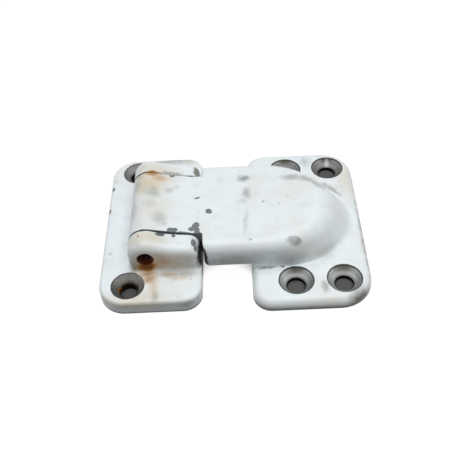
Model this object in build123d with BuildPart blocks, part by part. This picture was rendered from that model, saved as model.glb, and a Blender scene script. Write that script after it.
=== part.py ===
"""Exterior car door hinge: a pillar leaf with two ears, a door leaf with its knuckle, and the pin.

Lengths are in millimetres. X runs from the pillar leaf to the door leaf, Y lies along the pin and Z stands
out from the body panel. The origin is on the mounting plane, straight under the middle of the pin.
"""

import os
from math import cos, radians, sin, tan

from build123d import *

os.makedirs("parts", exist_ok=True)

# Pin and bushes
pin_diameter = 8.0
pin_recess = 5.0
pin_chamfer = 0.8
running_clearance = 0.05
bush_wall = 1.5
bush_length = 14.0
flange_diameter = 15.0
flange_thickness = 0.75
flange_clearance = 0.05

# Knuckle and ears
barrel_radius = 9.0
barrel_clearance = 0.4
knuckle_width = 41.6
ear_thickness = 11.0
ear_drop = 4.4
ear_back_angle = 20.0
ear_lean = 1.5
ear_corner = 6.0
ear_edge_round = 4.4
ear_foot_round = 2.0

# Pillar leaf plate
pillar_thickness = 8.0
pillar_inner_edge = 27.5
pillar_outer_edge = 24.0
pillar_width = 104.4
pillar_outer_corner = 13.3
pillar_inner_corner = 9.8
pillar_edge_round = 2.0

# Door leaf plate
door_thickness = 6.0
leaf_gap = 25.0
door_length = 59.5
door_width = 109.0
door_outer_corner = 16.8
door_inner_corner = 9.5
door_edge_round = 4.1

# Arm and its domed end
shoulder_gap = 1.2
shoulder_corner = 5.0
arm_top_margin = 4.4
arm_draft = 0.4
arm_drop = 4.4
arm_back_angle = 11.5
arm_back_round = 30.0
arm_side_round = 6.0
arm_reach = 84.0
arm_edge_break = 0.5
arm_root_round = 2.5
nose_start = 13.5
nose_set_back = 9.0
dome_run = 23.8
dome_steps = 5
foot_steps = 4

# Cored pocket under the dome
pocket_roof = 6.5
pocket_front_wall = 5.6
pocket_side_wall = 6.5
pocket_end_wall = 12.8
pocket_draft = 3.0
pocket_corner = 7.0
pocket_bevel = 3.5

# Screw holes
screw_hole_diameter = 9.0
drill_cone_angle = 118.0
drill_cone_diameter = 14.6
seat_angle = 90.0
door_seat_diameter = 18.0
door_screw_spacing_x = 24.0
door_screw_spacing_y = 81.0
door_screw_inset = 13.7
pillar_seat_diameter = 17.0
pillar_screw_spacing_y = 82.2
pillar_screw_inset = 14.6

# Places worked out from the sizes above
pin_height = pillar_thickness + barrel_clearance + barrel_radius
joint_gap = flange_thickness + flange_clearance
ear_inner = knuckle_width / 2 + joint_gap
ear_outer = ear_inner + ear_thickness
ear_top = pin_height + barrel_radius - ear_drop
arm_top = pin_height + barrel_radius - arm_drop
arm_underside = pin_height - barrel_radius
arm_half_width = knuckle_width / 2 + arm_top_margin + arm_side_round
shoulder = pillar_inner_edge + shoulder_gap
spring_height = arm_top - arm_side_round
door_inner_edge = pillar_inner_edge + leaf_gap
nose = door_inner_edge + nose_start
door_outer_edge = door_inner_edge + door_length
pillar_screw_x = pillar_screw_inset - pillar_outer_edge
door_screw_x = door_outer_edge - door_screw_inset - door_screw_spacing_x / 2
bush_bore = pin_diameter + 2 * running_clearance
bush_diameter = bush_bore + 2 * bush_wall


def barrel_point(angle):
    """A point of the barrel, at an angle in degrees past its top, in the X and Z of a side view."""
    turn = radians(angle)
    return (barrel_radius * sin(turn), pin_height + barrel_radius * cos(turn))


def barrel_tangent(angle):
    """The way the barrel runs at that point."""
    return (cos(radians(angle)), -sin(radians(angle)))


def tangent_fall(angle, height):
    """The point where the barrel's tangent at that angle comes down to a height."""
    x, z = barrel_point(angle)
    return (x + (z - height) / tan(radians(angle)), height)


def d_outline(start, half_width, bend, reach):
    """A D seen from above: square at its start, with a half oval end from its bend out to its reach."""
    front = Line((start, -half_width), (bend, -half_width))
    EllipticalCenterArc((bend, 0), reach - bend, half_width, start_angle=-90, arc_size=180)
    back = Line((bend, half_width), (start, half_width))
    Line(back @ 1, front @ 0)


def dome_outline(height, half_width):
    """The dome's D at a height: its end falls steeply below the top and flattens out towards the plate."""
    rise = min((height - door_thickness) / (arm_top - door_thickness), 1)
    reach = arm_reach + dome_run * (1 - rise**0.5) ** (1 / 3)
    d_outline(shoulder, half_width, nose - nose_set_back * rise, reach)


def screw_hole(seat_diameter, plate_thickness):
    """A screw hole with the seat for a countersunk head, cut over the wider cone that the drill left."""
    seat_depth = (seat_diameter - drill_cone_diameter) / 2 / tan(radians(seat_angle / 2))
    CounterSinkHole(drill_cone_diameter / 2, seat_diameter / 2, seat_depth, seat_angle)
    with Locations((0, 0, -seat_depth)):
        CounterSinkHole(screw_hole_diameter / 2, drill_cone_diameter / 2, plate_thickness, drill_cone_angle)


# One ear, seen from the side, with its outer edges rounded as cast
with BuildPart() as ear:
    with BuildSketch(Plane.XZ.offset(ear_inner)):
        with BuildLine():
            back = Line((-barrel_radius, 0), (-barrel_radius, pin_height))
            crown = ThreePointArc(back @ 1, barrel_point(-35), barrel_point(ear_back_angle))
            top = TangentArc(
                crown @ 1,
                (pillar_inner_edge - ear_lean, ear_top),
                tangent=barrel_tangent(ear_back_angle),
            )
            end = Line(top @ 1, (pillar_inner_edge, pillar_thickness))
            foot = Line(end @ 1, (pillar_inner_edge, 0))
            Line(foot @ 1, back @ 0)
        make_face()
        fillet(vertices().group_by(Axis.X)[-2], ear_corner)
    extrude(amount=ear_thickness)
    outer_edges = faces().sort_by(Axis.Y)[0].edges().sort_by(Axis.Z)[1:]
    fillet(outer_edges, ear_edge_round)

# Concave round at the foot of the ear, which runs out at the plate's inner edge
with BuildPart() as ear_foot:
    with BuildLine(Plane.XY.offset(pillar_thickness)) as foot_path:
        side = Line((-barrel_radius, -ear_inner), (-barrel_radius, ear_edge_round - ear_outer))
        turn = JernArc(side @ 1, (0, -1), ear_edge_round, 90)
        front = Line(turn @ 1, (pillar_inner_edge - ear_edge_round, -ear_outer))
        JernArc(front @ 1, (1, 0), ear_edge_round, 90)
    with BuildSketch(Plane.XZ.offset(ear_inner)):
        with Locations((-barrel_radius, pillar_thickness)):
            Rectangle(2 * ear_foot_round, 2 * ear_foot_round)
        with Locations((-barrel_radius - ear_foot_round, pillar_thickness + ear_foot_round)):
            Circle(ear_foot_round, mode=Mode.SUBTRACT)
    sweep(path=foot_path.line)
    with BuildSketch():
        with Locations((pillar_inner_edge, -ear_outer)):
            Rectangle(ear_thickness, 2 * ear_thickness, align=(Align.MIN, Align.CENTER))
    extrude(amount=2 * pillar_thickness, mode=Mode.SUBTRACT)

# Pillar leaf: plate and two ears in one casting, bored for the pin and drilled for two screws
with BuildPart() as pillar_leaf:
    with BuildSketch():
        with Locations(((pillar_inner_edge - pillar_outer_edge) / 2, 0)):
            Rectangle(pillar_inner_edge + pillar_outer_edge, pillar_width)
        fillet(vertices().group_by(Axis.X)[0], pillar_outer_corner)
        fillet(vertices().group_by(Axis.X)[-1], pillar_inner_corner)
    extrude(amount=pillar_thickness)
    fillet(faces().sort_by(Axis.Z)[-1].edges(), pillar_edge_round)
    for casting in (ear.part, ear_foot.part):
        add(casting)
        mirror(casting, about=Plane.XZ)
    with Locations(Plane((0, ear_outer, pin_height), z_dir=(0, 1, 0))):
        Hole(pin_diameter / 2, depth=2 * ear_outer)
    with Locations((pillar_screw_x, 0, pillar_thickness)):
        with GridLocations(0, pillar_screw_spacing_y, 1, 2):
            screw_hole(pillar_seat_diameter, pillar_thickness)
pillar_leaf.part.label = "pillar_leaf"
export_step(pillar_leaf.part, "parts/pillar_leaf.step")

# Dome: D-shaped sections stacked from the plate's face to the arm's top. Up to the spring line the sides are
# nearly upright, and above it they follow a round. Under the arm the sections are cut flat over the panel gap,
# with both long edges broken at 45 degrees. The two corners at the shoulder are rounded as seen from above.
cut_half_width = arm_half_width + arm_edge_break
flat_half_width = arm_half_width - arm_edge_break
dome_levels = []
for step in range(foot_steps):
    share = 1 - (step / foot_steps) ** 2
    dome_levels.append((
        spring_height - share * (spring_height - door_thickness),
        arm_half_width + share * arm_draft,
    ))
for step in range(dome_steps + 1):
    turn = radians(90 * step / dome_steps)
    dome_levels.append((
        spring_height + arm_side_round * sin(turn),
        arm_half_width - arm_side_round * (1 - cos(turn)),
    ))

with BuildPart() as dome:
    for height, half_width in dome_levels:
        with BuildSketch(Plane.XY.offset(height)):
            with BuildLine():
                dome_outline(height, half_width)
            make_face()
    loft()
    with BuildSketch():
        with BuildLine():
            dome_outline(*dome_levels[0])
        make_face()
    extrude(amount=door_thickness)
    with BuildSketch(Plane.YZ.offset(shoulder)):
        with BuildLine():
            Polyline(
                (-cut_half_width, 0),
                (cut_half_width, 0),
                (cut_half_width, arm_underside + 2 * arm_edge_break),
                (flat_half_width, arm_underside),
                (-flat_half_width, arm_underside),
                (-cut_half_width, arm_underside + 2 * arm_edge_break),
                close=True,
            )
        make_face()
    extrude(amount=door_inner_edge - shoulder, mode=Mode.SUBTRACT)
    underside = faces().filter_by(Axis.Z).filter_by_position(Axis.Z, arm_underside - 1, arm_underside + 1)
    fillet(underside.edges().sort_by(Axis.X)[-1], arm_root_round)
    with BuildSketch():
        with Locations((shoulder, 0)):
            Rectangle(door_outer_edge - shoulder, 2 * cut_half_width, align=(Align.MIN, Align.CENTER))
        fillet(vertices().group_by(Axis.X)[0], shoulder_corner)
    extrude(amount=2 * arm_top, mode=Mode.INTERSECT)

# Cored pocket under the dome, with draft towards its mouth
pocket_depth = arm_top - pocket_roof
pocket_start = door_inner_edge + pocket_front_wall
pocket_half_width = arm_half_width - pocket_side_wall
pocket_reach = arm_reach + dome_run - pocket_end_wall
pocket_side = nose - pocket_start
corner = min(pocket_corner, 0.9 * pocket_side)
with BuildPart() as pocket:
    with BuildSketch():
        with BuildLine():
            d_outline(pocket_start, pocket_half_width, nose, pocket_reach)
        make_face()
        fillet(vertices().group_by(Axis.X)[0], corner)
    extrude(amount=pocket_depth, taper=pocket_draft)
    chamfer(faces().sort_by(Axis.Z)[-1].edges(), min(pocket_bevel, corner / 2))

# Knuckle and the neck that joins it to the dome, seen from the side
with BuildPart() as knuckle:
    with BuildSketch(Plane.XZ):
        with BuildLine():
            crown = ThreePointArc(
                (0, arm_underside),
                (-barrel_radius, pin_height),
                barrel_point(arm_back_angle),
            )
            slope = Line(crown @ 1, tangent_fall(arm_back_angle, arm_top))
            neck = Line(slope @ 1, (door_inner_edge, arm_top))
            inside = Line(neck @ 1, (door_inner_edge, arm_underside))
            Line(inside @ 1, crown @ 0)
        make_face()
        fillet(vertices().group_by(Axis.X)[-2], arm_back_round)
    extrude(amount=knuckle_width / 2, both=True)

# Door leaf: plate, dome and knuckle in one casting, with its bush bore, screw holes and cored pocket
with BuildPart() as door_leaf:
    with BuildSketch():
        with Locations((door_inner_edge, 0)):
            Rectangle(door_length, door_width, align=(Align.MIN, Align.CENTER))
        fillet(vertices().group_by(Axis.X)[0], door_inner_corner)
        fillet(vertices().group_by(Axis.X)[-1], door_outer_corner)
    extrude(amount=door_thickness)
    fillet(faces().sort_by(Axis.Z)[-1].edges(), door_edge_round)
    add(dome.part)
    add(knuckle.part)
    add(pocket.part, mode=Mode.SUBTRACT)
    with Locations(Plane((0, knuckle_width / 2, pin_height), z_dir=(0, 1, 0))):
        Hole(bush_diameter / 2, depth=knuckle_width)
    with Locations((door_screw_x, 0, door_thickness)):
        with GridLocations(door_screw_spacing_x, door_screw_spacing_y, 2, 2):
            screw_hole(door_seat_diameter, door_thickness)
door_leaf.part.label = "door_leaf"
export_step(door_leaf.part, "parts/door_leaf.step")

# Bush: a sleeve pressed in the knuckle, whose flange is the thrust washer in the joint gap
with BuildPart() as bush:
    with BuildSketch(Plane.XZ.offset(knuckle_width / 2)):
        with Locations((0, pin_height)):
            Circle(flange_diameter / 2)
            Circle(bush_bore / 2, mode=Mode.SUBTRACT)
    extrude(amount=flange_thickness)
    with BuildSketch(Plane.XZ.offset(knuckle_width / 2)):
        with Locations((0, pin_height)):
            Circle(bush_diameter / 2)
            Circle(bush_bore / 2, mode=Mode.SUBTRACT)
    extrude(amount=-bush_length)
front_bush = bush.part
front_bush.label = "front_bush"
export_step(front_bush, "parts/front_bush.step")
rear_bush = mirror(bush.part, about=Plane.XZ)
rear_bush.label = "rear_bush"
export_step(rear_bush, "parts/rear_bush.step")

# Pin: plain, pressed in both ears with its ends set back from their faces
with BuildPart() as hinge_pin:
    with BuildSketch(Plane.XZ):
        with Locations((0, pin_height)):
            Circle(pin_diameter / 2)
    extrude(amount=ear_outer - pin_recess, both=True)
    chamfer(edges().filter_by(GeomType.CIRCLE), pin_chamfer)
hinge_pin.part.label = "hinge_pin"
export_step(hinge_pin.part, "parts/hinge_pin.step")
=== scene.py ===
"""Looks of the car door hinge: its finishes, a plain pale floor, soft studio light and the camera.

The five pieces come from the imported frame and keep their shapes. Each gets a finish worked out
from where a point lies on the piece, in millimetres. X runs from the pillar leaf to the door leaf,
Y lies along the pin and Z stands out from the body panel.
"""

import logging
from dataclasses import dataclass, field
from enum import Enum
from math import cos, radians, sin

import bpy
from mathutils import Matrix, Vector


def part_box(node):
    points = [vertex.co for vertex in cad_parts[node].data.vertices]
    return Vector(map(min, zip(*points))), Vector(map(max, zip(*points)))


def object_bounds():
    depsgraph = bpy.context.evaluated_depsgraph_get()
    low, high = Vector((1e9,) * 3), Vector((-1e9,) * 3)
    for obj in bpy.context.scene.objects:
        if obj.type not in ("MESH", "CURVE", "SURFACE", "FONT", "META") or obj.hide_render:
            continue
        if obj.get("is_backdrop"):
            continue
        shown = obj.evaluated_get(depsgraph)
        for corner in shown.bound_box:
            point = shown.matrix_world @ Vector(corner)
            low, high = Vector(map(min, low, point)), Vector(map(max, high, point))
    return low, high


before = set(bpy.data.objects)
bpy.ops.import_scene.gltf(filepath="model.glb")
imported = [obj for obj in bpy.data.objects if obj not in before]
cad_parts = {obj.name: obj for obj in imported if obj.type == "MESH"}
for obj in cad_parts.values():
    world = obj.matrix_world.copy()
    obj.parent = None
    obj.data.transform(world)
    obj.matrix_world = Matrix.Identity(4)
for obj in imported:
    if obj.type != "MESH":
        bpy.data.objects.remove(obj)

LOG = logging.getLogger("hinge")
MM = 0.001

# A mix node has its own inputs and output for each kind of data.
VALUE_BELOW, VALUE_ABOVE = 2, 3
COLOUR_BELOW, COLOUR_ABOVE, COLOUR_OUT = 6, 7, 2

# How much the finer layers of grain, rings and outlines count, and how many the last two have.
GRAIN_DECAY, RING_DECAY, DRIFT_DECAY = 0.6, 0.7, 0.65
LAYERS = 3.0

Point = tuple[float, float, float]
Span = tuple[float, float]
Pattern = tuple[float, float]
Rgba = tuple[float, float, float, float]
Socket = bpy.types.NodeSocket
Value = Socket | float
Colour = Socket | Rgba
Tree = bpy.types.NodeTree


def linear(hex_colour: str) -> Rgba:
    """Turn an sRGB hex colour into a linear one.

    Args:
        hex_colour: The colour as #rrggbb.

    Returns:
        Red, green, blue and an alpha of 1.
    """
    parts = [int(hex_colour[i:i + 2], 16) / 255 for i in (1, 3, 5)]
    red, green, blue = (c / 12.92 if c <= 0.04045 else ((c + 0.055) / 1.055) ** 2.4 for c in parts)
    return (red, green, blue, 1.0)


def add_node(
    tree: Tree, kind: str, inputs: dict | None = None, **settings: object
) -> bpy.types.Node:
    """Add a node with its settings, values and links.

    Args:
        tree: The node tree that it goes into.
        kind: The node's type name.
        inputs: A value or another node's output for each input, by name or number.
        settings: The node's own settings.

    Returns:
        The new node.
    """
    node = tree.nodes.new(kind)
    for name, value in settings.items():
        setattr(node, name, value)
    for key, value in (inputs or {}).items():
        if isinstance(value, Socket):
            tree.links.new(value, node.inputs[key])
        else:
            node.inputs[key].default_value = value
    return node


def beyond(length: float, span: Span) -> Span:
    """Move a span out by a length."""
    return (length + span[0], length + span[1])


class Wear(Enum):
    """What has happened to the surface at a mark, or the shade or light painted there: its colour
    there, and how soft its edge is.
    """

    CHIP = ("#858c8f", 0.10)
    # Near black: caked dirt, and painted shade in the gaps between the leaves and at the seats'
    # rims
    CRUST_AND_SHADE = ("#1c1a17", 0.50)
    # Grey: grime, and painted shade at feet, under edges, in gaps and on steep flanks
    GRIME_AND_SHADE = ("#6c6a5f", 0.85)
    SMUDGE = ("#8b9290", 0.85)
    SCRATCH = ("#8a8f8d", 0.80)
    YELLOWING = ("#d5ccb6", 0.95)
    RUST = ("#aa7638", 0.90)
    # Pale: metal rubbed bright, and painted highlights on the seats' lit walls
    RUBBED_AND_HIGHLIGHT = ("#d2d5d4", 0.80)
    # Dark olive: old grease, and painted shade on the seats' far walls
    GREASE_AND_SHADE = ("#302c22", 0.90)

    @property
    def colour(self) -> str:
        """The colour that shows at the mark."""
        return self.value[0]

    @property
    def softness(self) -> float:
        """The share of the mark's own radius over which it fades out."""
        return self.value[1]


@dataclass(frozen=True)
class Mark:
    """A mark on the finish: an ellipsoid about a point of the piece, so it stays on its own face.

    Its place and size are in millimetres, and its turn about Z is in degrees. Its force is how far
    it covers what lies under it. Its blur makes its edge softer or harder than its kind's usual.
    """

    wear: Wear
    at: Point
    size: Point
    force: float = 1.0
    turn: float = 0.0
    blur: float = 1.0


@dataclass(frozen=True)
class Seats:
    """The screw seats of a leaf, cut through its paint into bare metal, in millimetres."""

    centres: tuple[tuple[float, float], ...]
    radius: float
    hole_radius: float


class Surface:
    """A material's node tree, with the place on the piece in millimetres to draw patterns from."""

    # How far a mark fades out beyond its own edge, as a share of its softness
    fade_beyond: float = 1 / 3

    def __init__(self, name: str) -> None:
        """Start the material with a shader, an output and the piece's own coordinates.

        Args:
            name: The material's name.
        """
        self.material = bpy.data.materials.new(name)
        self.material.use_nodes = True
        self.tree = self.material.node_tree
        self.tree.nodes.clear()
        self.shader = add_node(self.tree, "ShaderNodeBsdfPrincipled")
        add_node(self.tree, "ShaderNodeOutputMaterial", {"Surface": self.shader.outputs["BSDF"]})
        place = add_node(self.tree, "ShaderNodeTexCoord").outputs["Object"]
        scaled = add_node(
            self.tree, "ShaderNodeVectorMath", {0: place, "Scale": 1 / MM}, operation="SCALE"
        )
        self.place = scaled.outputs["Vector"]
        apart = add_node(self.tree, "ShaderNodeSeparateXYZ", {0: self.place})
        self.x, self.y, self.z = apart.outputs

    def grain(self, pattern: Pattern) -> Socket:
        """Draw an uneven pattern.

        Args:
            pattern: The size of its patches in millimetres, and how many finer layers it has.

        Returns:
            A value that wanders about 0.5.
        """
        size, layers = pattern
        noise = add_node(
            self.tree,
            "ShaderNodeTexNoise",
            {"Vector": self.place, "Scale": 1 / size, "Detail": layers, "Roughness": GRAIN_DECAY},
        )
        return noise.outputs["Fac"]

    def rings(self, away: Socket, pitch: float) -> Socket:
        """Draw uneven rings about an axis, as a cutter leaves them.

        Args:
            away: The distance from the axis in millimetres.
            pitch: The usual width of a ring in millimetres.

        Returns:
            A value that wanders about 0.5 from ring to ring.
        """
        noise = add_node(
            self.tree,
            "ShaderNodeTexNoise",
            {"W": away, "Scale": 1 / pitch, "Detail": LAYERS, "Roughness": RING_DECAY},
            noise_dimensions="1D",
        )
        return noise.outputs["Fac"]

    def distance(self, axis: Point, centre: Point) -> Socket:
        """Measure how far a point is from a line along one axis.

        Args:
            axis: 0 along the line and 1 along the other two axes.
            centre: A point of the line, with 0 along it.

        Returns:
            The distance in millimetres.
        """
        flat = add_node(
            self.tree, "ShaderNodeVectorMath", {0: self.place, 1: axis}, operation="MULTIPLY"
        )
        away = add_node(
            self.tree,
            "ShaderNodeVectorMath",
            {0: flat.outputs["Vector"], 1: centre},
            operation="DISTANCE",
        )
        return away.outputs["Value"]

    def drift(self, size: float, reach: float) -> Socket:
        """Shift the place a little, so that an outline drawn from it comes out ragged.

        Args:
            size: The size of the outline's notches in millimetres.
            reach: How far they reach in millimetres.

        Returns:
            The shifted place.
        """
        noise = add_node(
            self.tree,
            "ShaderNodeTexNoise",
            {"Vector": self.place, "Scale": 1 / size, "Detail": LAYERS, "Roughness": DRIFT_DECAY},
        )
        centred = add_node(
            self.tree,
            "ShaderNodeVectorMath",
            {0: noise.outputs["Color"], 1: (0.5, 0.5, 0.5)},
            operation="SUBTRACT",
        )
        shift = add_node(
            self.tree,
            "ShaderNodeVectorMath",
            {0: centred.outputs["Vector"], "Scale": 2 * reach},
            operation="SCALE",
        )
        moved = add_node(
            self.tree,
            "ShaderNodeVectorMath",
            {0: self.place, 1: shift.outputs["Vector"]},
            operation="ADD",
        )
        return moved.outputs["Vector"]

    def step(self, value: Socket, start: float, end: float) -> Socket:
        """Fade from 0 to 1 as a value goes from start to end.

        Args:
            value: The value to read.
            start: Where the fade begins.
            end: Where it is complete, which may be the lower of the two.

        Returns:
            The fade.
        """
        fade = add_node(
            self.tree,
            "ShaderNodeMapRange",
            {"Value": value, "From Min": start, "From Max": end},
            interpolation_type="SMOOTHSTEP",
        )
        return fade.outputs["Result"]

    def sum(self, operation: str, first: Value, second: Value) -> Socket:
        """Work out one value from two, by the math node's operation of that name."""
        result = add_node(self.tree, "ShaderNodeMath", {0: first, 1: second}, operation=operation)
        return result.outputs[0]

    def spot(self, mark: Mark, place: Socket) -> Socket:
        """Draw one mark.

        Args:
            mark: Where it lies, and how large it is.
            place: The place on the piece, shifted where the mark's edge is ragged.

        Returns:
            The mark's strength there.
        """
        softness = mark.wear.softness * mark.blur
        reach = 1 + softness * self.fade_beyond
        local = add_node(
            self.tree,
            "ShaderNodeMapping",
            {
                "Vector": place,
                "Location": mark.at,
                "Rotation": (0.0, 0.0, radians(mark.turn)),
                "Scale": [side * reach for side in mark.size],
            },
            vector_type="TEXTURE",
        )
        # A gradient takes the mapping's output as it is. With a vector sum after it, the renderer
        # holds every mark's place at once, and the door leaf's marks come near to what it can hold.
        ball = add_node(
            self.tree,
            "ShaderNodeTexGradient",
            {"Vector": local.outputs["Vector"]},
            gradient_type="SPHERICAL",
        )
        fade = self.step(ball.outputs["Fac"], 0.0, 1 - (1 - softness) / reach)
        return self.sum("MULTIPLY", fade, mark.force)

    def spots(self, marks: list[Mark], place: Socket) -> Socket:
        """Draw several marks of one kind, the strongest on top.

        Args:
            marks: The marks.
            place: The place on the piece, shifted where their edges are ragged.

        Returns:
            Their strength there.
        """
        total = self.spot(marks[0], place)
        for mark in marks[1:]:
            total = self.sum("MAXIMUM", total, self.spot(mark, place))
        return total

    def cover(self, below: Colour, above: Colour, share: Socket) -> Socket:
        """Lay one colour over another.

        Args:
            below: The lower colour, or its output.
            above: The upper colour, or its output.
            share: How much of the upper one shows.

        Returns:
            The colour that shows.
        """
        mixed = add_node(
            self.tree,
            "ShaderNodeMix",
            {"Factor": share, COLOUR_BELOW: below, COLOUR_ABOVE: above},
            data_type="RGBA",
        )
        return mixed.outputs[COLOUR_OUT]

    def blend(self, below: Value, above: Value, share: Value) -> Socket:
        """Go from one value, where the share is 0, to another, where it is 1."""
        ends = {VALUE_BELOW: below, VALUE_ABOVE: above}
        return add_node(self.tree, "ShaderNodeMix", {"Factor": share, **ends}).outputs[0]

    def relief(self, height: Socket) -> None:
        """Raise the surface.

        Args:
            height: The height in millimetres.
        """
        bump = add_node(
            self.tree, "ShaderNodeBump", {"Height": height, "Distance": MM, "Strength": 1.0}
        )
        self.tree.links.new(bump.outputs["Normal"], self.shader.inputs["Normal"])

    def finish(self, colour: Socket, roughness: Socket, metallic: Value) -> bpy.types.Material:
        """Hand the patterns to the shader.

        Args:
            colour: The base colour.
            roughness: The roughness.
            metallic: The share of bare metal.

        Returns:
            The finished material.
        """
        self.tree.links.new(colour, self.shader.inputs["Base Color"])
        self.tree.links.new(roughness, self.shader.inputs["Roughness"])
        if isinstance(metallic, Socket):
            self.tree.links.new(metallic, self.shader.inputs["Metallic"])
        else:
            self.shader.inputs["Metallic"].default_value = metallic
        return self.material


@dataclass(frozen=True)
class Grains:
    """The uneven patterns that several parts of a finish share."""

    fine: Socket
    mid: Socket
    wide: Socket


@dataclass(frozen=True)
class WeatheredEnamel:
    """White body enamel over grey primer on a steel casting.

    It was sprayed, so it has a faint orange peel. Years outdoors have dulled it, chipped it to the
    primer at corners and let rust run from the pin. It reads as a slightly blue white with a soft
    gloss. Shade and light are painted in too: darker towards the lower edges, in the gaps between
    the leaves and on the seats' rims and far walls, lighter on some seat walls, with the holes'
    walls near black. Lengths are in millimetres. A span says where a fade begins and where it is
    complete.
    """

    name: str
    thickness: float
    seats: Seats
    marks: tuple[Mark, ...]

    # Colours
    fresh: str = "#edf5f9"
    faded: str = "#e8edec"
    primer: str = "#8c8f8a"
    primer_dark: str = "#5d6163"
    bare: str = "#b6b9b8"
    bare_dark: str = "#6c6f6d"
    # Painted shade: the screw holes' walls, near black
    hole_wall_shade: str = "#0c0c0b"
    bore_rust: str = "#60230a"
    # Dirt along the lower edges, with a painted contact shadow
    edge_dirt_and_shade: str = "#35332d"
    rust_dark: str = "#6e4109"
    rust_pale: str = "#dcc199"

    # Patterns. Cutter marks are nearer 0.3 mm and are drawn coarser, to show.
    fine_grain: Pattern = (0.9, 4.0)
    mid_grain: Pattern = (3.5, 4.0)
    wide_grain: Pattern = (16.0, 3.0)
    haze_grain: Pattern = (7.0, 5.0)
    seat_grain: Pattern = (1.2, 3.0)
    peel: Pattern = (1.6, 1.0)
    ring_pitch: float = 1.1

    # How far outlines wander: the size of their notches, and their reach
    paint_drift: Span = (4.0, 2.0)
    rust_drift: Span = (4.0, 1.3)
    chip_drift: Span = (2.2, 0.9)
    scratch_drift: Span = (1.5, 0.35)
    streak_drift: Span = (1.5, 0.4)

    # Dulled and dirty paint, and painted shade towards the lower edges
    faded_span: Span = (0.35, 0.7)
    haze_span: Span = (0.5, 0.95)
    haze_force: float = 0.35
    dirt_and_shade_height: float = 3.7
    dirt_and_shade_full: float = 0.8
    dirt_and_shade_force: float = 0.9
    dirt_and_shade_patches: Span = (0.5, 1.5)
    scratch_span: Span = (0.3, 0.55)

    # The primed back, a little rusty
    back_span: Span = (0.3, 0.05)
    back_rust_span: Span = (0.6, 0.85)
    back_bare_span: Span = (0.3, 0.6)

    # The cut seats and holes, with spans measured from the seat's edge, the face and the hole
    seat_notches: float = 0.5
    seat_edge: Span = (0.35, 0.15)
    face_edge: Span = (0.03, -0.03)
    back_edge: Span = (0.02, 0.08)
    # The dark rim round each seat: dirt, with the shade at the paint's edge painted in
    rim_edge: Span = (-0.5, 0.2)
    rim_force: float = 0.7
    wall_edge: Span = (0.6, 0.2)
    ring_span: Span = (0.35, 0.65)
    ring_stain: float = 0.4
    streak_patches: Span = (0.7, 1.3)
    bare_shine: float = 0.85

    # The joint between knuckle and ears, and the bore for the pin
    pin_height: float = 17.4
    joint_centre: float = 21.2
    joint_height: float = 12.0
    joint_span: Span = (0.2, 0.0)
    joint_rise: Span = (0.0, 2.0)
    joint_end: Span = (29.0, 27.0)
    bore_radius: float = 4.0
    bore_edge: Span = (1.2, 0.5)
    bore_notches: float = 1.2

    # Rust that has run over the paint
    rust_patches: Span = (0.7, 1.25)
    rust_span: Span = (0.0, 0.6)
    rust_stops: Point = (0.1, 0.6, 1.0)

    # Roughness and relief
    paint_rough: Span = (0.3, 0.42)
    worn_rough: float = 0.75
    bare_rough: float = 0.5
    peel_depth: float = 0.035
    chip_depth: float = 0.12
    rust_depth: float = 0.15
    groove_depth: float = 0.12

    def marks_of(self, wear: Wear) -> list[Mark]:
        """List the marks of one kind."""
        return [mark for mark in self.marks if mark.wear is wear]

    def seat_distance(self, surface: Surface) -> Socket:
        """Measure how far a point is from the axis of the nearest screw hole.

        Args:
            surface: The finish's node tree.

        Returns:
            The distance in millimetres.
        """
        nearest = None
        for x, y in self.seats.centres:
            away = surface.distance((1.0, 1.0, 0.0), (x, y, 0.0))
            nearest = away if nearest is None else surface.sum("MINIMUM", nearest, away)
        return nearest

    def bare_metal(self, surface: Surface, away: Socket) -> Socket:
        """Find the cut seats and holes, where the tool took the paint off.

        Args:
            surface: The finish's node tree.
            away: The distance from the nearest hole's axis.

        Returns:
            1 where the metal is bare.
        """
        notches = surface.sum("MULTIPLY", surface.grain(self.seat_grain), self.seat_notches)
        edge = surface.sum("ADD", away, notches)
        inside = surface.step(edge, *beyond(self.seats.radius, self.seat_edge))
        below_top = surface.step(surface.z, *beyond(self.thickness, self.face_edge))
        above_back = surface.step(surface.z, *self.back_edge)
        return surface.sum("MULTIPLY", inside, surface.sum("MULTIPLY", below_top, above_back))

    def dirty_and_shaded_paint(self, surface: Surface, grains: Grains) -> Socket:
        """Colour the enamel, and lay haze, edge dirt with a painted contact shadow, yellowing,
        smudges and grime with painted shade over it.

        Args:
            surface: The finish's node tree.
            grains: The shared patterns.

        Returns:
            The paint's colour.
        """
        wandering = surface.drift(*self.paint_drift)
        old = surface.step(grains.wide, *self.faded_span)
        colour = surface.cover(linear(self.fresh), linear(self.faded), old)
        haze = surface.step(surface.grain(self.haze_grain), *self.haze_span)
        haze = surface.sum("MULTIPLY", haze, self.haze_force)
        colour = surface.cover(colour, linear(Wear.SMUDGE.colour), haze)
        # Darker towards the bottom of each leaf: dirt, with a painted contact shadow along the
        # lower edges
        uneven = surface.sum("ADD", surface.z, grains.mid)
        low = surface.step(uneven, self.dirt_and_shade_height, self.dirt_and_shade_full)
        low = surface.sum("MULTIPLY", low, self.dirt_and_shade_force)
        colour = surface.cover(colour, linear(self.edge_dirt_and_shade), low)
        for wear in (Wear.YELLOWING, Wear.SMUDGE, Wear.GRIME_AND_SHADE):
            marks = self.marks_of(wear)
            if marks:
                patchy = surface.blend(*self.dirt_and_shade_patches, grains.mid)
                share = surface.sum("MULTIPLY", surface.spots(marks, wandering), patchy)
                colour = surface.cover(colour, linear(wear.colour), share)
        return colour

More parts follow.
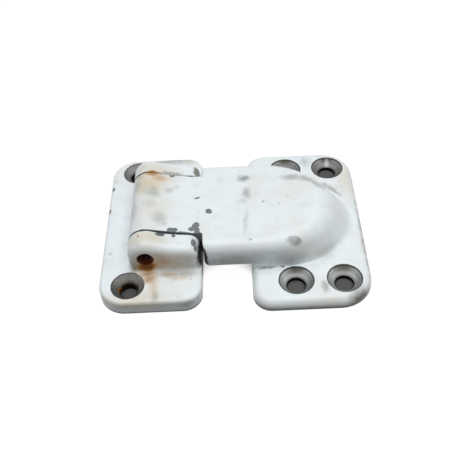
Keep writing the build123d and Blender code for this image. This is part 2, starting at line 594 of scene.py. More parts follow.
    def scratched(self, surface: Surface, grains: Grains, colour: Socket) -> Socket:
        """Draw the scratches over the paint.

        Args:
            surface: The finish's node tree.
            grains: The shared patterns.
            colour: The paint's colour.

        Returns:
            The colour with its scratches.
        """
        marks = self.marks_of(Wear.SCRATCH)
        scratch = surface.spots(marks, surface.drift(*self.scratch_drift))
        broken = surface.step(grains.fine, *self.scratch_span)
        scratch = surface.sum("MULTIPLY", scratch, broken)
        return surface.cover(colour, linear(Wear.SCRATCH.colour), scratch)

    def joint_edge(self, surface: Surface, grains: Grains) -> Socket:
        """Draw the chipped paint along the two joints between knuckle and ears.

        Args:
            surface: The finish's node tree.
            grains: The shared patterns.

        Returns:
            1 where the paint is off.
        """
        side = surface.sum("ABSOLUTE", surface.y, 0.0)
        off = surface.sum("ABSOLUTE", surface.sum("SUBTRACT", side, self.joint_centre), 0.0)
        near = surface.step(surface.sum("SUBTRACT", off, grains.mid), *self.joint_span)
        high = surface.step(surface.z, *beyond(self.joint_height, self.joint_rise))
        inner = surface.step(surface.x, *self.joint_end)
        return surface.sum("MULTIPLY", near, surface.sum("MULTIPLY", high, inner))

    def primed_back(self, surface: Surface, grains: Grains, colour: Socket) -> Socket:
        """Leave the back, which the panel hides, in primer with a little rust.

        Args:
            surface: The finish's node tree.
            grains: The shared patterns.
            colour: The colour of the other sides.

        Returns:
            The colour with the back's own.
        """
        rusty = surface.step(grains.mid, *self.back_rust_span)
        tone = surface.cover(linear(self.primer), linear(Wear.RUST.colour), rusty)
        back = surface.step(surface.z, *self.back_span)
        thin = surface.step(grains.wide, *self.back_bare_span)
        return surface.cover(colour, tone, surface.sum("MULTIPLY", back, thin))

    def cut_metal(self, surface: Surface, grains: Grains, away: Socket, rings: Socket) -> Socket:
        """Colour the bare seats: the cutter's rings, a dark rim of dirt and painted shade, old
        grease, painted shade and highlights, and a hole wall painted near black as shade.

        Args:
            surface: The finish's node tree.
            grains: The shared patterns.
            away: The distance from the nearest hole's axis.
            rings: The pattern of the cutter's rings.

        Returns:
            The metal's colour.
        """
        stained = surface.blend(surface.step(rings, *self.ring_span), grains.mid, self.ring_stain)
        tone = surface.cover(linear(self.bare), linear(self.bare_dark), stained)
        # A dark rim at the seat's edge: dirt and painted shade
        uneven = surface.sum("ADD", away, grains.fine)
        rim = surface.step(uneven, *beyond(self.seats.radius, self.rim_edge))
        rim = surface.sum("MULTIPLY", rim, self.rim_force)
        tone = surface.cover(tone, linear(Wear.CRUST_AND_SHADE.colour), rim)
        # Old grease and rubbed metal, and painted shade on the seats' far walls and painted
        # highlights on their lit walls
        for wear in (Wear.GREASE_AND_SHADE, Wear.RUBBED_AND_HIGHLIGHT):
            streaks = surface.spots(self.marks_of(wear), surface.drift(*self.streak_drift))
            patchy = surface.blend(*self.streak_patches, grains.mid)
            streaks = surface.sum("MULTIPLY", streaks, patchy)
            tone = surface.cover(tone, linear(wear.colour), streaks)
        # The hole's wall, painted near black as the shade inside it
        wall = surface.step(away, *beyond(self.seats.hole_radius, self.wall_edge))
        return surface.cover(tone, linear(self.hole_wall_shade), wall)

    def rust(self, surface: Surface, grains: Grains) -> Socket:
        """Tell how thick the rust is that has run over the enamel."""
        spread = surface.spots(self.marks_of(Wear.RUST), surface.drift(*self.rust_drift))
        return surface.sum("MULTIPLY", spread, surface.blend(*self.rust_patches, grains.mid))

    def rusted(self, surface: Surface, colour: Socket, rust: Socket) -> Socket:
        """Lay the rust over the colour, pale where it is thin and dark where it is thick.

        Args:
            surface: The finish's node tree.
            colour: The colour under it.
            rust: How thick the rust is.

        Returns:
            The colour with its rust.
        """
        tone = add_node(surface.tree, "ShaderNodeValToRGB", {"Fac": rust})
        first, middle, last = self.rust_stops
        stops = tone.color_ramp.elements
        stops[0].position, stops[0].color = first, linear(self.rust_pale)
        stops[1].position, stops[1].color = last, linear(self.rust_dark)
        stops.new(middle).color = linear(Wear.RUST.colour)
        return surface.cover(colour, tone.outputs["Color"], surface.step(rust, *self.rust_span))

    def pin_bore(self, surface: Surface, grains: Grains) -> Socket:
        """Find the bore that the pin sits in, rusted dark.

        Args:
            surface: The finish's node tree.
            grains: The shared patterns.

        Returns:
            1 in the bore.
        """
        away = surface.distance((1.0, 0.0, 1.0), (0.0, 0.0, self.pin_height))
        notches = surface.sum("MULTIPLY", grains.fine, self.bore_notches)
        edge = surface.sum("ADD", away, notches)
        return surface.step(edge, *beyond(self.bore_radius, self.bore_edge))

    def material(self) -> bpy.types.Material:
        """Build the enamel with its wear, and the bare seats in it.

        Returns:
            The material.
        """
        surface = Surface(self.name)
        fine, mid = surface.grain(self.fine_grain), surface.grain(self.mid_grain)
        grains = Grains(fine, mid, surface.grain(self.wide_grain))

        ragged = surface.drift(*self.chip_drift)
        colour = self.dirty_and_shaded_paint(surface, grains)
        colour = self.scratched(surface, grains, colour)
        chip = surface.spots(self.marks_of(Wear.CHIP), ragged)
        chip = surface.sum("MAXIMUM", chip, self.joint_edge(surface, grains))
        chip_tone = surface.cover(linear(Wear.CHIP.colour), linear(self.primer_dark), fine)
        colour = surface.cover(colour, chip_tone, chip)
        # Caked dirt and nicks, and painted shade in the gaps between the leaves
        crust_and_shade = surface.spots(self.marks_of(Wear.CRUST_AND_SHADE), ragged)
        colour = surface.cover(colour, linear(Wear.CRUST_AND_SHADE.colour), crust_and_shade)
        colour = self.primed_back(surface, grains, colour)

        away = self.seat_distance(surface)
        bare = self.bare_metal(surface, away)
        rings = surface.rings(away, self.ring_pitch)
        colour = surface.cover(colour, self.cut_metal(surface, grains, away, rings), bare)
        rust = self.rust(surface, grains)
        colour = self.rusted(surface, colour, rust)
        bore = self.pin_bore(surface, grains)
        colour = surface.cover(colour, linear(self.bore_rust), bore)

        worn = surface.sum("MAXIMUM", chip, crust_and_shade)
        dull = surface.sum("MAXIMUM", worn, surface.sum("MAXIMUM", rust, bore))
        roughness = surface.blend(surface.blend(*self.paint_rough, mid), self.worn_rough, dull)
        roughness = surface.blend(roughness, self.bare_rough, bare)
        shine = surface.sum("MAXIMUM", surface.sum("MULTIPLY", bare, self.bare_shine), bore)

        peel = surface.sum("MULTIPLY", surface.grain(self.peel), self.peel_depth)
        sunk = surface.sum("MULTIPLY", chip, -self.chip_depth)
        flaky = surface.sum("MULTIPLY", surface.sum("MULTIPLY", rust, fine), self.rust_depth)
        grooves = surface.sum("MULTIPLY", surface.sum("MULTIPLY", rings, bare), self.groove_depth)
        height = surface.sum("ADD", peel, sunk)
        height = surface.sum("ADD", height, surface.sum("ADD", flaky, grooves))
        surface.relief(height)
        return surface.finish(colour, roughness, shine)


@dataclass(frozen=True)
class RustedSteelWithPaintedShade:
    """Plain ground steel that has rusted where the weather reaches it.

    Flakes of dark brown lie over a redder stain, with no shine left. Its colours are near black,
    as the shade of the pin's ends, sunk in their holes, is painted into the rust. Lengths are in
    millimetres.
    """

    name: str = "rusted_steel_with_painted_shade"
    # Near black: rust, with the shade of the pin's sunk ends painted in
    scale: str = "#0d0605"
    stain: str = "#1f0d06"
    steel: str = "#231c18"
    flake: Pattern = (1.1, 5.0)
    flake_span: Span = (0.4, 0.7)
    flake_depth: float = 0.05
    patch: Pattern = (4.0, 3.0)
    worn_span: Span = (0.62, 0.72)
    rough: Span = (1.0, 0.7)
    gloss: float = 0.05
    metal_share: float = 0.3

    def material(self) -> bpy.types.Material:
        """Build the rusted steel.

        Returns:
            The material.
        """
        surface = Surface(self.name)
        flakes = surface.grain(self.flake)
        patches = surface.grain(self.patch)
        flaked = surface.step(flakes, *self.flake_span)
        colour = surface.cover(linear(self.scale), linear(self.stain), flaked)
        worn = surface.step(patches, *self.worn_span)
        colour = surface.cover(colour, linear(self.steel), worn)
        roughness = surface.blend(*self.rough, worn)
        surface.shader.inputs["Specular IOR Level"].default_value = self.gloss
        surface.relief(surface.sum("MULTIPLY", flakes, self.flake_depth))
        return surface.finish(colour, roughness, surface.sum("MULTIPLY", worn, self.metal_share))


@dataclass(frozen=True)
class SinteredBronze:
    """Oil-soaked bronze, pressed from powder.

    Fine pores and old oil leave it a dull brown gold, darker where dirt has gathered. Lengths are
    in millimetres. Real pores are under 0.1 mm and are drawn coarser, to show.
    """

    name: str = "sintered_bronze"
    bronze: str = "#9a7440"
    oiled: str = "#5a4427"
    pore: Pattern = (0.6, 3.0)
    pore_depth: float = 0.03
    stain: Pattern = (3.0, 3.0)
    stain_span: Span = (0.35, 0.65)
    rough: Span = (0.4, 0.6)

    def material(self) -> bpy.types.Material:
        """Build the bronze.

        Returns:
            The material.
        """
        surface = Surface(self.name)
        pores = surface.grain(self.pore)
        stained = surface.step(surface.grain(self.stain), *self.stain_span)
        colour = surface.cover(linear(self.bronze), linear(self.oiled), stained)
        roughness = surface.blend(*self.rough, pores)
        surface.relief(surface.sum("MULTIPLY", pores, self.pore_depth))
        return surface.finish(colour, roughness, 1.0)


def dress(node: str, material: bpy.types.Material) -> None:
    """Give a piece its finish.

    Args:
        node: The piece's name in the frame.
        material: The finish.
    """
    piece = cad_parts[node]
    if not piece.material_slots:
        piece.data.materials.append(material)
    for slot in piece.material_slots:
        slot.material = material
    low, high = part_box(node)
    size = " by ".join(f"{side / MM:.1f}" for side in high - low)
    LOG.info("%s: %s mm, %s", node, size, material.name)


@dataclass
class PillarLeaf:
    """The pillar leaf with its two ears, and the pin pressed in them."""

    leaf: str = "pillar_leaf"
    pin: str = "hinge_pin"
    thickness: float = 8.0
    ear_face: float = -32.6
    ear_joint: float = 21.6
    screw_x: float = -9.4
    screw_y: float = 41.1
    seat_radius: float = 8.5
    hole_radius: float = 4.5
    dirt_and_shade_height: float = 2.0

    def rust(self) -> tuple[Mark, ...]:
        """List the rust that runs from the front pin hole, over the ear's foot and down the plate.

        Returns:
            The marks.
        """
        face, top = self.ear_face, self.thickness
        screw, side = self.screw_x, self.screw_y
        return (
            Mark(Wear.RUST, (0.1, face, 12.1), (5.8, 3.0, 4.6), 1.15),
            Mark(Wear.RUST, (0.6, face, 12.4), (9.5, 3.5, 5.6), 0.62),
            Mark(Wear.RUST, (7.0, face, 15.5), (13.0, 3.8, 9.5), 0.4),
            Mark(Wear.RUST, (12.0, face, 15.0), (18.0, 3.8, 10.0), 0.28),
            Mark(Wear.RUST, (-6.5, -31.5, 12.0), (3.5, 4.0, 7.0), 0.26),
            Mark(Wear.RUST, (0.6, -34.0, top), (6.5, 3.4, 2.0), 0.5),
            Mark(Wear.RUST, (1.6, -37.4, top), (4.8, 5.4, 1.5), 0.5),
            Mark(Wear.RUST, (3.0, -42.5, top), (4.8, 7.5, 1.5), 0.32),
            Mark(Wear.RUST, (11.0, -35.2, top), (7.5, 2.4, 1.4), 0.3),
            Mark(Wear.RUST, (17.0, -37.6, top), (7.0, 2.6, 1.4), 0.27),
            Mark(Wear.RUST, (-2.6, -24.8, 26.0), (0.6, 0.9, 1.2), 0.6, blur=0.6),
            Mark(Wear.RUST, (2.0, self.ear_joint, 26.0), (7.0, 1.8, 2.5), 0.55),
            Mark(Wear.RUST, (screw - 4.5, -side, 2.0), (1.4, 2.6, 2.8), 1.6, blur=0.3),
            Mark(Wear.RUST, (screw, -side, 4.0), (13.0, 13.0, 6.0), 0.08),
            Mark(Wear.RUST, (screw, side, 4.0), (13.0, 13.0, 6.0), 0.04),
            Mark(Wear.RUST, (4.0, 0.0, top), (14.0, 21.0, 1.5), 0.3),
        )

    def dirt(self) -> tuple[Mark, ...]:
        """List the grey dirt on the ears and at their feet, with painted shade at the front ear's
        foot and the rear ear's end, the yellowed lower edge, the grease and a painted highlight in
        the front seat.

        Returns:
            The marks.
        """
        face, top = self.ear_face, self.thickness
        screw, side = self.screw_x, self.screw_y
        return (
            Mark(Wear.GRIME_AND_SHADE, (14.0, face, 11.0), (16.0, 3.0, 6.0), 0.3),
            Mark(Wear.GRIME_AND_SHADE, (20.0, face, 14.0), (8.0, 3.0, 8.0), 0.22),
            # Grey dirt and painted shade at the front ear's foot on the plate
            Mark(Wear.GRIME_AND_SHADE, (15.0, -34.4, top), (12.5, 3.4, 1.8), 0.42, blur=0.7),
            Mark(Wear.GRIME_AND_SHADE, (-7.2, -31.0, 11.0), (3.0, 4.0, 5.5), 0.4),
            Mark(Wear.GRIME_AND_SHADE, (4.6, -49.0, top), (2.4, 4.6, 1.5), 0.4),
            Mark(Wear.GRIME_AND_SHADE, (20.4, -51.8, 5.0), (6.0, 2.0, 3.0), 0.4),
            # Darker along the rear ear's back top edge and on the plate strip behind the ear
            Mark(Wear.GRIME_AND_SHADE, (8.0, 50.0, top), (19.0, 4.4, 1.5), 0.5),
            Mark(Wear.GRIME_AND_SHADE, (8.0, 31.8, 22.6), (17.0, 1.6, 2.6), 0.5),
            Mark(Wear.GRIME_AND_SHADE, (13.0, 22.6, 24.0), (9.0, 1.6, 2.0), 0.7),
            # Dirt and painted shade on the rear ear's end face
            Mark(Wear.GRIME_AND_SHADE, (24.9, 26.0, 18.5), (2.2, 7.5, 6.5), 0.95, blur=0.8),
            Mark(Wear.GRIME_AND_SHADE, (8.0, 0.0, top), (17.0, 20.0, 1.5), 0.4),
            Mark(Wear.YELLOWING, (1.0, -25.5, 25.0), (15.0, 6.5, 6.0), 0.7),
            Mark(Wear.YELLOWING, (-4.0, -33.0, 15.0), (7.0, 4.0, 10.0), 0.5),
            Mark(Wear.YELLOWING, (4.0, 25.0, 24.5), (16.0, 5.0, 5.0), 0.6),
            Mark(Wear.YELLOWING, (-6.0, -50.0, 6.5), (24.0, 7.0, 4.0), 0.7),
            Mark(Wear.SMUDGE, (-19.9, -19.8, top), (1.4, 1.2, 1.0), 0.35),
            Mark(Wear.SMUDGE, (-21.7, 34.9, top), (1.2, 1.4, 1.0), 0.35),
            # A painted highlight: a bright crescent on the front seat's right wall
            Mark(Wear.RUBBED_AND_HIGHLIGHT, (screw + 6.4, 1.6 - side, 4.6), (0.7, 3.6, 1.4), 0.6, turn=-25.0),
            Mark(Wear.GREASE_AND_SHADE, (screw, -side, 4.0), (13.0, 13.0, 7.0), 0.9),
            Mark(Wear.GREASE_AND_SHADE, (screw, side, 4.0), (13.0, 13.0, 7.0), 0.65),
        )

    def chips(self) -> tuple[Mark, ...]:
        """List the chips to the primer, most of them along the front joint, and the painted shade
        in the gaps at the front ear's end and behind the arm.

        Returns:
            The marks.
        """
        joint = -self.ear_joint
        return (
            Mark(Wear.CHIP, (7.8, joint - 0.9, 24.6), (2.2, 1.3, 2.0)),
            Mark(Wear.CRUST_AND_SHADE, (8.0, joint - 1.0, 24.6), (3.0, 1.6, 2.0), 0.45),
            Mark(Wear.CHIP, (14.3, joint - 0.8, 23.0), (1.1, 1.3, 1.6)),
            Mark(Wear.CHIP, (24.2, -26.2, 20.9), (1.4, 2.6, 2.4)),
            Mark(Wear.CHIP, (25.1, -29.0, 19.9), (0.8, 1.7, 1.6)),
            # Painted shade, near black: the gap at the front ear's end, and the plate's end face
            # behind the arm
            Mark(Wear.CRUST_AND_SHADE, (27.4, -28.0, 14.0), (2.3, 8.0, 7.5), blur=0.8),
            Mark(Wear.CRUST_AND_SHADE, (26.6, -32.4, 11.5), (2.0, 1.6, 3.6), 0.8),
            Mark(Wear.CRUST_AND_SHADE, (27.6, -15.0, 4.0), (1.6, 20.0, 8.0), blur=0.6),
            Mark(Wear.CRUST_AND_SHADE, (22.1, -38.9, self.thickness), (0.9, 0.4, 0.6), 0.4),
            Mark(Wear.CHIP, (-22.8, 28.4, 7.7), (0.8, 1.6, 1.3)),
            Mark(Wear.CHIP, (-23.2, 11.2, 7.4), (0.7, 1.9, 1.3)),
            Mark(Wear.SCRATCH, (-14.0, -12.0, self.thickness), (0.3, 2.6, 1.0), 0.3, turn=30.0),
        )

    def screws(self) -> tuple[tuple[float, float], ...]:
        """List the places of the screw holes."""
        return ((self.screw_x, -self.screw_y), (self.screw_x, self.screw_y))

    def build(self) -> None:
        """Dress the leaf and its pin."""
        marks = self.rust() + self.dirt() + self.chips()
        seats = Seats(self.screws(), self.seat_radius, self.hole_radius)
        enamel = WeatheredEnamel(
            "pillar_enamel_over_primer", self.thickness, seats, marks, dirt_and_shade_height=self.dirt_and_shade_height
        )
        dress(self.leaf, enamel.material())
        dress(self.pin, RustedSteelWithPaintedShade().material())


@dataclass
class DoorLeaf:
    """The door leaf with its knuckle and domed arm, and the two bushes pressed in it."""

    leaf: str = "door_leaf"
    bushes: tuple[str, ...] = ("front_bush", "rear_bush")
    thickness: float = 6.0
    knuckle_side: float = -20.8
    arm_top: float = 22.0
    arm_side: float = -31.2
    screw_x: tuple[float, ...] = (74.3, 98.3)
    screw_y: float = 40.5
    seat_radius: float = 9.0
    hole_radius: float = 4.5

    def chips(self) -> tuple[Mark, ...]:
        """List the chips: two on the arm, the large one down the knuckle's front corner, and
        painted shade in the gap below it and on the arm's shoulder.

        Returns:
            The marks.
        """
        side, top = self.knuckle_side, self.arm_top
        return (
            Mark(Wear.CHIP, (25.7, 4.2, top), (1.5, 0.6, 1.0), turn=8.0),
            Mark(Wear.CHIP, (31.8, -5.9, top), (1.7, 2.0, 1.0), turn=30.0),
            Mark(Wear.CHIP, (25.2, -15.6, top), (1.9, 2.4, 1.5), turn=-15.0),
            Mark(Wear.CHIP, (23.4, -17.6, top), (2.3, 1.5, 1.5), turn=25.0),
            Mark(Wear.CHIP, (25.8, -19.2, top), (1.5, 3.0, 2.0)),
            Mark(Wear.CHIP, (26.6, side, 18.5), (1.6, 1.4, 4.6)),
            Mark(Wear.CHIP, (27.6, -21.6, 20.4), (1.0, 1.8, 2.4)),
            # Painted shade, near black: the gap below the knuckle's front corner and the arm's
            # shoulder
            Mark(Wear.CRUST_AND_SHADE, (27.8, side, 11.5), (1.9, 2.2, 5.6), blur=0.8),
            Mark(Wear.CRUST_AND_SHADE, (29.2, -27.4, 12.0), (2.0, 7.0, 9.0), blur=0.8),
            Mark(Wear.CHIP, (13.2, side + 1.1, 23.9), (2.4, 1.7, 2.0)),
            Mark(Wear.CHIP, (15.2, side + 1.9, 23.5), (1.2, 1.2, 2.0)),
            Mark(Wear.CHIP, (19.5, side, 22.4), (5.0, 0.8, 1.5)),
            Mark(Wear.CHIP, (12.2, 19.9, 24.2), (1.6, 0.8, 1.5)),
        )

    def dirt(self) -> tuple[Mark, ...]:
        """List the smudges and grey dirt, the arm's lower side the dirtiest, with painted shade
        there, on its steep flank, at its foot and along the lower edges.

        Returns:
            The marks.
        """
        top, side = self.arm_top, self.arm_side
        plate, last, rear = self.thickness, self.screw_x[-1], self.screw_y
        return (
            Mark(Wear.YELLOWING, (0.0, 12.0, 25.0), (13.0, 12.0, 8.0), 0.85),
            Mark(Wear.YELLOWING, (3.0, -6.0, 25.0), (13.0, 17.0, 8.0), 0.45),
            Mark(Wear.SMUDGE, (2.5, 6.6, 26.1), (5.8, 5.4, 2.5), 0.45),
            Mark(Wear.SMUDGE, (1.3, -1.6, 26.3), (4.5, 4.0, 2.5), 0.25),
            Mark(Wear.SMUDGE, (11.0, 8.6, 24.3), (3.0, 2.6, 2.5), 0.38),
            Mark(Wear.SMUDGE, (14.8, 11.2, 23.6), (2.2, 2.0, 2.0), 0.26),
            Mark(Wear.SMUDGE, (6.8, -12.0, 25.2), (4.4, 5.4, 2.5), 0.42),
            Mark(Wear.SMUDGE, (9.2, -15.2, 24.8), (2.4, 2.4, 2.0), 0.36),
            Mark(Wear.SMUDGE, (-6.8, -5.3, 23.0), (2.5, 9.0, 5.0), 0.35),
            Mark(Wear.SMUDGE, (-6.0, 13.0, 24.0), (2.6, 7.0, 4.0), 0.36),
            Mark(Wear.SMUDGE, (50.6, 17.5, top), (3.6, 3.0, 1.5), 0.95),
            Mark(Wear.SMUDGE, (51.7, 6.3, top), (2.8, 4.8, 1.5), 0.62),
            Mark(Wear.SMUDGE, (49.2, 0.4, top), (3.0, 2.4, 1.5), 0.3),
            Mark(Wear.SMUDGE, (59.9, -0.6, top), (0.9, 0.9, 1.0), 0.75),
            Mark(Wear.SMUDGE, (68.1, -2.6, top), (0.9, 0.8, 1.0), 0.6),
            Mark(Wear.SMUDGE, (73.0, 2.4, top), (0.9, 0.8, 1.0), 0.4),
            Mark(Wear.SMUDGE, (50.4, -15.0, top), (1.6, 10.5, 1.5), 0.32, turn=-5.0),
            Mark(Wear.GRIME_AND_SHADE, (51.9, -26.0, 21.8), (1.0, 0.7, 1.2), 0.8, turn=-40.0),
            Mark(Wear.SMUDGE, (73.8, -26.5, 19.6), (4.4, 2.6, 3.2), 0.6, blur=0.3),
            Mark(Wear.GRIME_AND_SHADE, (76.2, -26.9, 18.6), (2.6, 1.8, 2.2), 0.32, blur=0.4),
            Mark(Wear.GRIME_AND_SHADE, (75.5, 17.0, top), (7.0, 2.8, 1.8), 0.5),
            Mark(Wear.GRIME_AND_SHADE, (84.2, 15.8, 21.5), (5.5, 3.2, 2.6), 0.52, turn=-20.0),
            Mark(Wear.GRIME_AND_SHADE, (88.8, 12.4, 20.6), (6.0, 2.8, 3.4), 0.52, turn=-40.0),
            Mark(Wear.GRIME_AND_SHADE, (96.0, 26.0, plate), (4.5, 1.4, 2.2), 0.4, turn=-40.0),
            Mark(Wear.GRIME_AND_SHADE, (100.2, 21.6, plate), (6.5, 1.8, 2.6), 0.58, turn=-52.0),
            # Grey dirt and painted shade on the arm's lower side, and painted shade where its flank
            # gets steeper
            Mark(Wear.GRIME_AND_SHADE, (44.0, side, 11.5), (20.0, 2.5, 4.6), 0.5),
            Mark(Wear.GRIME_AND_SHADE, (76.0, side, 10.0), (20.0, 5.0, 4.4), 0.34),
            Mark(Wear.GRIME_AND_SHADE, (91.0, -24.5, 8.5), (11.0, 6.0, 4.0), 0.3, turn=30.0),
            # A painted shadow line at the arm's foot on the plate
            Mark(Wear.GRIME_AND_SHADE, (59.0, -32.0, plate), (7.0, 1.0, 1.2), 0.85),
            Mark(Wear.CRUST_AND_SHADE, (68.2, -31.5, plate), (1.3, 0.9, 1.0), 0.6),
            Mark(Wear.SMUDGE, (86.3, 46.4, plate), (4.6, 5.0, 1.5), 0.36),
            Mark(Wear.YELLOWING, (108.0, 30.0, plate), (6.0, 20.0, 3.0), 0.5),
            Mark(Wear.YELLOWING, (90.0, -52.5, 4.6), (24.0, 3.0, 3.0), 0.25),
            # Dirt and a painted contact shadow along the right and front lower edges
            Mark(Wear.GRIME_AND_SHADE, (112.2, -10.0, 3.0), (2.6, 46.0, 3.8), 0.8),
            Mark(Wear.GRIME_AND_SHADE, (106.5, -51.5, 1.8), (9.5, 7.5, 6.2), 1.1),
            Mark(Wear.RUST, (2.6, 20.0, 26.0), (7.0, 2.2, 2.5), 0.55),
            Mark(Wear.RUST, (-4.2, 19.2, 25.2), (4.0, 3.0, 2.5), 0.36),
            Mark(Wear.RUST, (6.0, 17.4, 25.6), (8.0, 4.4, 2.5), 0.4),
            Mark(Wear.RUST, (0.0, 13.5, 26.2), (9.0, 8.0, 3.0), 0.22),
            Mark(Wear.RUBBED_AND_HIGHLIGHT, (last + 0.6, rear + 5.6, 4.0), (1.8, 3.6, 3.4), 0.45, turn=-6.0),
        )

    def grease(self) -> tuple[Mark, ...]:
        """List the painted shade on each seat's rear wall, the painted highlight on the left wall
        of the front seats, and the old grease over the rear seats.

        Returns:
            The marks.
        """
        reach = self.seat_radius
        marks = []
        for x, y in self.screws():
            # Painted shade on the seat's far wall; on the front seats a painted highlight on the
            # left wall, on the rear ones old grease
            rear, size = (x + 1.0, y + 0.95 * reach, 4.5), (reach, 0.35 * reach, 4.0)
            marks.append(Mark(Wear.GREASE_AND_SHADE, rear, size, 0.85))
            if y < 0:
                left = Mark(Wear.RUBBED_AND_HIGHLIGHT, (x - 0.7 * reach, y - 0.5, 3.6), (2.4, 6.0, 2.6), 0.35)
                marks.append(left)
            else:
                marks.append(Mark(Wear.GREASE_AND_SHADE, (x, y, 4.0), (13.0, 13.0, 7.0), 0.6))
        return tuple(marks)

    def scratches(self) -> tuple[Mark, ...]:
        """List the crossed scratches between the front screws, and the scuff between the rear ones.

        Returns:
            The marks.
        """
        top = self.thickness
        return (
            Mark(Wear.SCRATCH, (88.0, -44.6, top), (0.9, 3.8, 1.0), 0.75, turn=26.0),
            Mark(Wear.SCRATCH, (88.4, -46.4, top), (0.8, 4.2, 1.0), 0.6, turn=-27.0),
            Mark(Wear.SCRATCH, (88.7, -43.8, top), (0.7, 4.2, 1.0), 0.45, turn=15.0),
            Mark(Wear.SCRATCH, (87.2, -46.2, top), (0.8, 3.2, 1.0), 0.6, turn=34.0),
            Mark(Wear.SMUDGE, (88.2, -45.6, top), (3.2, 5.0, 1.0), 0.28, turn=10.0),
            Mark(Wear.SCRATCH, (85.6, 47.6, top), (0.9, 3.4, 1.0), 0.3, turn=22.0),
        )

    def screws(self) -> tuple[tuple[float, float], ...]:
        """List the places of the screw holes."""
        return tuple((x, y) for x in self.screw_x for y in (-self.screw_y, self.screw_y))

    def build(self) -> None:
        """Dress the leaf and its bushes."""
        marks = self.chips() + self.dirt() + self.scratches() + self.grease()
        seats = Seats(self.screws(), self.seat_radius, self.hole_radius)
        enamel = WeatheredEnamel("door_enamel_over_primer", self.thickness, seats, marks)
        dress(self.leaf, enamel.material())
        bronze = SinteredBronze().material()
        for bush in self.bushes:
            dress(bush, bronze)


@dataclass(frozen=True)
class Softbox:
    """A square studio lamp, in metres and watts."""

    name: str
    side: float
    place: Point
    power: float

    def build(self, target: Vector) -> None:
        """Hang the lamp and turn it to the hinge.

        Args:
            target: The point that it faces.
        """
        data = bpy.data.lights.new(self.name, "AREA")
        data.shape = "SQUARE"
        data.size = self.side
        data.energy = self.power
        lamp = bpy.data.objects.new(self.name, data)
        lamp.location = self.place
        lamp.rotation_euler = (target - Vector(self.place)).to_track_quat("-Z", "Y").to_euler()
        bpy.context.collection.objects.link(lamp)


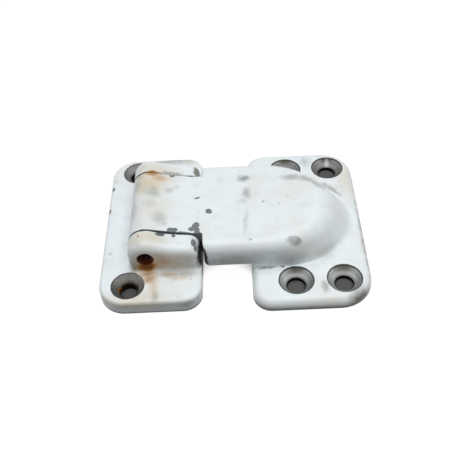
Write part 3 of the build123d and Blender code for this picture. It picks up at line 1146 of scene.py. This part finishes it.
@dataclass
class Studio:
    """A pale floor and soft light from above, so that the faces that stand upright are darker.

    The floor is matt white paper: it shows no gloss, and keeps the hinge's soft shadow. Only the
    camera and reflections see it shine by itself, and the more openly it lies, the more it does, so
    it is white around the hinge and dark under it. Its size is in metres, and its drop and reaches
    are in millimetres.
    """

    holes: tuple[tuple[float, float], ...]
    floor_size: float = 6.0
    floor_drop: float = 0.15
    floor_seen: str = "#ffffff"
    floor_bounce: str = "#5a5a5a"
    floor_paper: str = "#5e5e5e"
    floor_glow: float = 0.97
    floor_reach: float = 12.0
    floor_span: Span = (0.1, 0.45)
    hole_reach: float = 8.0
    hole_inner: float = 0.9
    hole_span: Span = (0.9, 0.995)
    shade_samples: int = 32
    sky_seen: float = 1.0
    sky_light: float = 0.16
    lamps: tuple[Softbox, ...] = field(
        default_factory=lambda: (
            Softbox("key_softbox", 1.1, (0.08, 0.0, 1.0), 9.4),
            Softbox("left_softbox", 0.5, (-0.9, -0.1, 0.45), 0.6),
            Softbox("right_softbox", 0.5, (1.0, -0.1, 0.45), 1.1),
        )
    )

    def seen(self, tree: Tree) -> Socket:
        """Tell the rays that show the background from those that only light the hinge.

        Args:
            tree: The node tree of the floor or the surroundings.

        Returns:
            1 for the rays that show it.
        """
        path = add_node(tree, "ShaderNodeLightPath")
        shown = path.outputs["Is Camera Ray"]
        for kind in ("Is Glossy Ray", "Is Transmission Ray"):
            either = {0: shown, 1: path.outputs[kind]}
            shown = add_node(tree, "ShaderNodeMath", either, operation="MAXIMUM").outputs[0]
        return shown

    def under_hole(self, tree: Tree) -> Socket:
        """Find the floor under the screw holes, which the plates over it keep in the dark.

        Args:
            tree: The floor's node tree.

        Returns:
            1 under a hole.
        """
        place = add_node(tree, "ShaderNodeTexCoord").outputs["Object"]
        nearest = None
        for x, y in self.holes:
            centre = (x * MM, y * MM, 0.0)
            away = add_node(
                tree, "ShaderNodeVectorMath", {0: place, 1: centre}, operation="DISTANCE"
            ).outputs["Value"]
            if nearest is not None:
                away = add_node(
                    tree, "ShaderNodeMath", {0: nearest, 1: away}, operation="MINIMUM"
                ).outputs[0]
            nearest = away
        rim = self.hole_reach * MM
        inside = add_node(
            tree,
            "ShaderNodeMapRange",
            {"Value": nearest, "From Min": rim, "From Max": self.hole_inner * rim},
        )
        return inside.outputs["Result"]

    def floor(self) -> None:
        """Lay the floor just under the hinge's back."""
        bpy.ops.object.select_all(action="DESELECT")
        below = (0, 0, -self.floor_drop * MM)
        bpy.ops.mesh.primitive_plane_add(size=self.floor_size, location=below)
        plane = bpy.context.active_object
        plane.name = "studio_floor"
        material = bpy.data.materials.new("matt_white_paper")
        material.use_nodes = True
        tree = material.node_tree
        tree.nodes.clear()
        seen = self.seen(tree)
        bounce, paper = linear(self.floor_bounce), linear(self.floor_paper)
        colour = add_node(
            tree,
            "ShaderNodeMix",
            {"Factor": seen, COLOUR_BELOW: bounce, COLOUR_ABOVE: paper},
            data_type="RGBA",
        )
        openness = add_node(
            tree,
            "ShaderNodeAmbientOcclusion",
            {"Distance": self.floor_reach * MM},
            samples=self.shade_samples,
        )
        hole = self.under_hole(tree)
        start, end = (
            add_node(tree, "ShaderNodeMix", {"Factor": hole, VALUE_BELOW: wide, VALUE_ABOVE: under})
            for wide, under in zip(self.floor_span, self.hole_span)
        )
        lit = add_node(
            tree,
            "ShaderNodeMapRange",
            {
                "Value": openness.outputs["AO"],
                "From Min": start.outputs[0],
                "From Max": end.outputs[0],
            },
            interpolation_type="SMOOTHSTEP",
        )
        share, full = lit.outputs["Result"], self.floor_glow
        glow = add_node(tree, "ShaderNodeMath", {0: seen, 1: share}, operation="MULTIPLY")
        glow = add_node(tree, "ShaderNodeMath", {0: glow.outputs[0], 1: full}, operation="MULTIPLY")
        shader = add_node(
            tree,
            "ShaderNodeBsdfPrincipled",
            {
                "Base Color": colour.outputs[COLOUR_OUT],
                "Roughness": 1.0,
                "Specular IOR Level": 0.0,
                "Emission Color": linear(self.floor_seen),
                "Emission Strength": glow.outputs[0],
            },
        )
        add_node(tree, "ShaderNodeOutputMaterial", {"Surface": shader.outputs["BSDF"]})
        plane.data.materials.append(material)
        plane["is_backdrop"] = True

    def sky(self) -> None:
        """Set the white surroundings, which light the hinge less than they show."""
        world = bpy.data.worlds.new("studio_sky")
        bpy.context.scene.world = world
        world.use_nodes = True
        tree = world.node_tree
        tree.nodes.clear()
        ends = {VALUE_BELOW: self.sky_light, VALUE_ABOVE: self.sky_seen}
        strength = add_node(tree, "ShaderNodeMix", {"Factor": self.seen(tree), **ends})
        light = add_node(
            tree,
            "ShaderNodeBackground",
            {"Color": linear("#ffffff"), "Strength": strength.outputs[0]},
        )
        add_node(tree, "ShaderNodeOutputWorld", {"Surface": light.outputs["Background"]})

    def build(self) -> None:
        """Set up floor, surroundings and lamps."""
        self.floor()
        self.sky()
        low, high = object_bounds()
        for lamp in self.lamps:
            lamp.build((low + high) / 2)
        LOG.info("studio: floor, surroundings and %d lamps", len(self.lamps))


@dataclass
class PhotoCamera:
    """The photograph's camera, found from the screw seats and the plates' outlines in it.

    Its place is in metres and its angles are in degrees.
    """

    place: Point = (0.0497, -0.2599, 0.28016)
    heading: float = -1.177
    down: float = 47.475
    roll: float = 3.466
    focal_pixels: float = 705.84
    image_pixels: int = 470
    sensor: float = 36.0
    near: float = 0.01
    far: float = 20.0

    def build(self) -> None:
        """Place the camera and make it the scene's own."""
        heading, down, roll = radians(self.heading), radians(self.down), radians(self.roll)
        ahead = Vector((sin(heading) * cos(down), cos(heading) * cos(down), -sin(down)))
        level = Vector((cos(heading), -sin(heading), 0.0))
        below = ahead.cross(level)
        right = cos(roll) * level + sin(roll) * below
        up = sin(roll) * level - cos(roll) * below
        data = bpy.data.cameras.new("photo_camera")
        data.sensor_width = self.sensor
        data.lens = self.focal_pixels / self.image_pixels * self.sensor
        data.clip_start, data.clip_end = self.near, self.far
        camera = bpy.data.objects.new("photo_camera", data)
        turn = Matrix((right, up, -ahead)).transposed()
        camera.matrix_world = Matrix.Translation(self.place) @ turn.to_4x4()
        bpy.context.collection.objects.link(camera)
        bpy.context.scene.camera = camera
        LOG.info("camera: %.1f mm lens", data.lens)


def main() -> None:
    """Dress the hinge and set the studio."""
    logging.basicConfig(level=logging.INFO, format="%(name)s: %(message)s")
    bpy.context.scene.view_settings.view_transform = "Standard"
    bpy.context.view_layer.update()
    PhotoCamera().build()
    pillar, door = PillarLeaf(), DoorLeaf()
    pillar.build()
    door.build()
    Studio(pillar.screws() + door.screws()).build()


if __name__ == "__main__":
    main()
